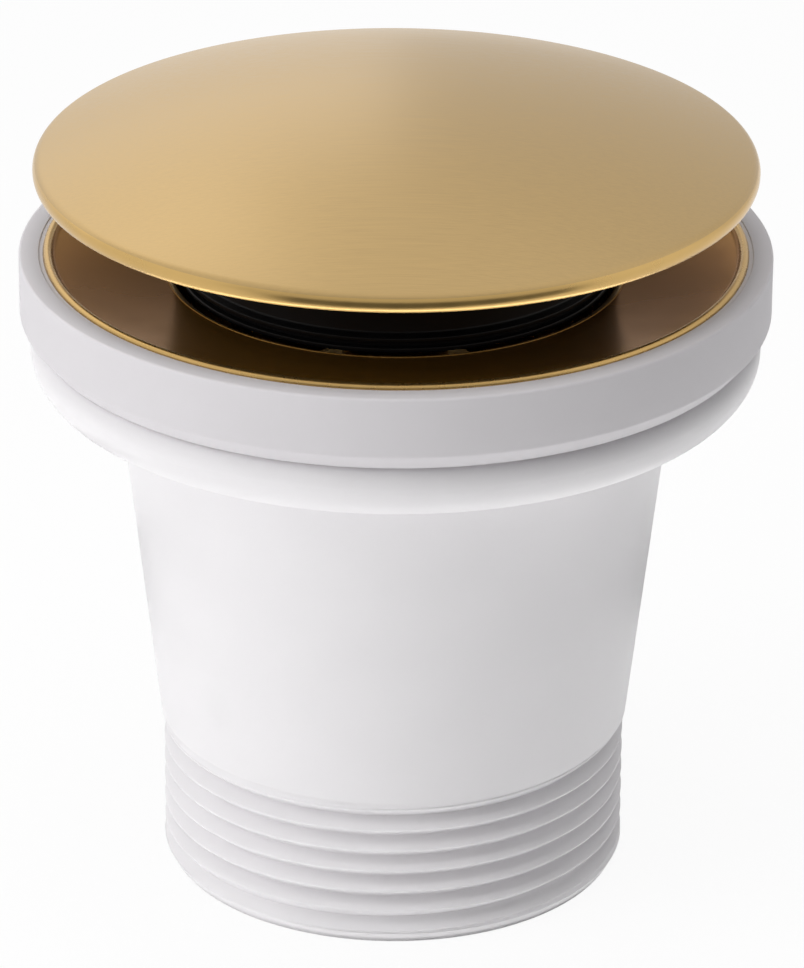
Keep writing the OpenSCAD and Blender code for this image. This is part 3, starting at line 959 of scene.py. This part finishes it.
class BATHWASTE_OT_stage(bpy.types.Operator):
    """Set up the pale floor, the soft light and the camera"""

    bl_idname = "bath_waste.stage"
    bl_label = "Stage"

    def seen_white(self, tree):
        """1 for rays that see or mirror the background, 0 for those that light the object."""
        path = add_node(tree, "ShaderNodeLightPath")
        seen = path.outputs["Is Camera Ray"]
        for kind in ("Is Glossy Ray", "Is Transmission Ray"):
            either = {0: seen, 1: path.outputs[kind]}
            seen = add_node(tree, "ShaderNodeMath", either, operation="MAXIMUM")
        return seen

    def floor(self, paint):
        """A large painted floor that reads as white paper and keeps a faint contact shadow."""
        bm = bmesh.new()
        bmesh.ops.create_grid(bm, x_segments=2, y_segments=2, size=6)
        floor = add_object("studio_floor", to_mesh(bm, "studio_floor"))
        material, tree = empty_material("white_paper")
        matt = add_node(tree, "ShaderNodeBsdfDiffuse", {"Color": paint})
        glow = add_node(tree, "ShaderNodeEmission", {"Color": WHITE, "Strength": 1.0})
        glow_share = 0.93
        seen_share = {0: self.seen_white(tree), 1: glow_share}
        share = add_node(tree, "ShaderNodeMath", seen_share, operation="MULTIPLY")
        mix = add_node(tree, "ShaderNodeMixShader", {0: share, 1: matt, 2: glow})
        add_node(tree, "ShaderNodeOutputMaterial", {"Surface": mix})
        floor.data.materials.append(material)

    def world(self, fill):
        """A world that is white to look at and lights the object only weakly."""
        world = bpy.data.worlds.new("studio")
        bpy.context.scene.world = world
        world.use_nodes = True
        tree = world.node_tree
        tree.nodes.clear()
        around = add_node(tree, "ShaderNodeBackground", {"Color": WHITE, "Strength": fill})
        white = add_node(tree, "ShaderNodeBackground", {"Color": WHITE, "Strength": 1.0})
        mix = add_node(tree, "ShaderNodeMixShader", {0: self.seen_white(tree), 1: around, 2: white})
        add_node(tree, "ShaderNodeOutputWorld", {"Surface": mix})

    def softbox(self, name, power, size, place, target):
        """A large soft lamp that doesn't show in the metal: the cards do."""
        lamp = bpy.data.lights.new(name, "AREA")
        lamp.shape = "RECTANGLE"
        lamp.size, lamp.size_y = size
        lamp.energy = power
        box = add_object(name, lamp)
        facing = (Vector(target) - Vector(place)).to_track_quat("-Z", "Y")
        box.matrix_world = Matrix.Translation(place) @ facing.to_matrix().to_4x4()
        box.visible_camera = box.visible_glossy = False

    def upright(self, start, end, low, high):
        """The sheet of a card that stands over a line on the floor."""
        bm = bmesh.new()
        foot = bm.edges.new([bm.verts.new((*place, low)) for place in (start, end)])
        raised = bmesh.ops.extrude_edge_only(bm, edges=[foot])["geom"]
        raised = [g for g in raised if isinstance(g, bmesh.types.BMVert)]
        bmesh.ops.translate(bm, vec=(0, 0, high - low), verts=raised)
        return bm

    def ring(self, inner, outer):
        """The sheet of a card that lies around the object, just over the floor."""
        bm = bmesh.new()
        bm.edges.new([bm.verts.new((radius, 0, MM)) for radius in (inner, outer)])
        turn(bm, steps=64)
        return bm

    def card(self, name, bm, tone, mirror=None):
        """A card that shows only in reflections; a tone of 1 is white.

        If a piece is named as its mirror, it shows in that piece alone."""
        card = add_object(name, to_mesh(bm, name))
        material, tree = empty_material(name)
        paper = add_node(tree, "ShaderNodeEmission", {"Color": WHITE, "Strength": tone})
        add_node(tree, "ShaderNodeOutputMaterial", {"Surface": paper})
        card.data.materials.append(material)
        for ray in ("camera", "diffuse", "shadow", "transmission"):
            setattr(card, f"visible_{ray}", False)
        if mirror:
            card.light_linking.receiver_collection = bpy.data.collections.new(name)
            card.light_linking.receiver_collection.objects.link(bpy.data.objects[mirror])

    def camera(self, s):
        """A camera with a long lens, where the photograph was taken from."""
        camera = bpy.data.cameras.new("photo_camera")
        camera.sensor_width = 36
        camera.lens = s.lens
        holder = add_object("photo_camera", camera)
        forward = Vector((0, math.cos(s.elevation), -math.sin(s.elevation)))
        place = Vector((s.aside, 0, s.aim)) - forward * s.distance
        holder.matrix_world = (
            Matrix.Translation(place)
            @ Matrix.Rotation(math.pi / 2 - s.elevation, 4, "X")
            @ Matrix.Rotation(s.roll, 4, "Z")
        )
        bpy.context.scene.camera = holder

    def execute(self, context):
        s = context.scene.waste_stage
        self.camera(s)
        self.floor(s.floor_colour)
        self.world(s.fill)
        for name, power, size, place, target in (
            ("left_softbox", s.key, (0.5, 0.6), (-0.55, -0.3, 0.4), (0, 0, 0.04)),
            ("top_softbox", s.top, (0.8, 0.8), (0, 0, 0.9), (0, 0, 0)),
            ("light_table", s.table, (1, 1), (0, 0, 0.0005), (0, 0, 1)),
        ):
            self.softbox(name, power, size, place, target)
        for name, start, end, low, high, tone in (
            ("dark_room", (-0.08, -0.12), (0.15, -0.12), 0.002, 0.1, 0.14),
            ("front_card", (-0.3, -0.25), (0.4, -0.25), 0.12, 0.6, 0.7),
            ("grey_card", (0, 0.49), (0.6, 0.2), 0.03, 0.6, 0.79),
            ("white_card", (-0.6, 0.2), (0, 0.49), 0.2, 0.45, 1.3),
            ("bright_card", (-0.6, 0.2), (-0.12, 0.453), 0.45, 0.9, 1.6),
        ):
            self.card(name, self.upright(start, end, low, high), tone)
        self.card("edge_card", self.ring(inner=0.062, outer=0.08), tone=4.0, mirror="cap_shell")
        context.scene.view_settings.view_transform = "Standard"
        return {"FINISHED"}


class BATHWASTE_PT_panel(bpy.types.Panel):
    """Lists the pieces of the bath waste and their settings"""

    bl_idname = "BATHWASTE_PT_panel"
    bl_label = "Bath Waste"
    bl_space_type = "VIEW_3D"
    bl_region_type = "UI"
    bl_category = "Bath Waste"

    def draw(self, context):
        for operator in OPERATORS:
            self.layout.operator(operator.bl_idname)
        for name, group in SETTINGS.items():
            box = self.layout.box()
            box.label(text=group.__doc__)
            for key in group.__annotations__:
                box.prop(getattr(context.scene, name), key)


OPERATORS = (
    BATHWASTE_OT_waste_body,
    BATHWASTE_OT_sealing_washer,
    BATHWASTE_OT_waste_flange,
    BATHWASTE_OT_plug_seal,
    BATHWASTE_OT_plug_cap,
    BATHWASTE_OT_clicker,
    BATHWASTE_OT_fixings,
    BATHWASTE_OT_stage,
)
SETTINGS = {
    "waste_plug": PlugSettings,
    "waste_flange": FlangeSettings,
    "waste_body": BodySettings,
    "waste_clicker": ClickerSettings,
    "waste_stage": StageSettings,
}
CLASSES = (*SETTINGS.values(), *OPERATORS, BATHWASTE_PT_panel)


def register():
    for cls in CLASSES:
        bpy.utils.register_class(cls)
    for name, group in SETTINGS.items():
        setattr(bpy.types.Scene, name, PointerProperty(type=group))


def unregister():
    for name in SETTINGS:
        delattr(bpy.types.Scene, name)
    for cls in reversed(CLASSES):
        bpy.utils.unregister_class(cls)


def main():
    register()
    for operator in OPERATORS:
        group, name = operator.bl_idname.split(".")
        getattr(getattr(bpy.ops, group), name)()


if __name__ == "__main__":
    main()
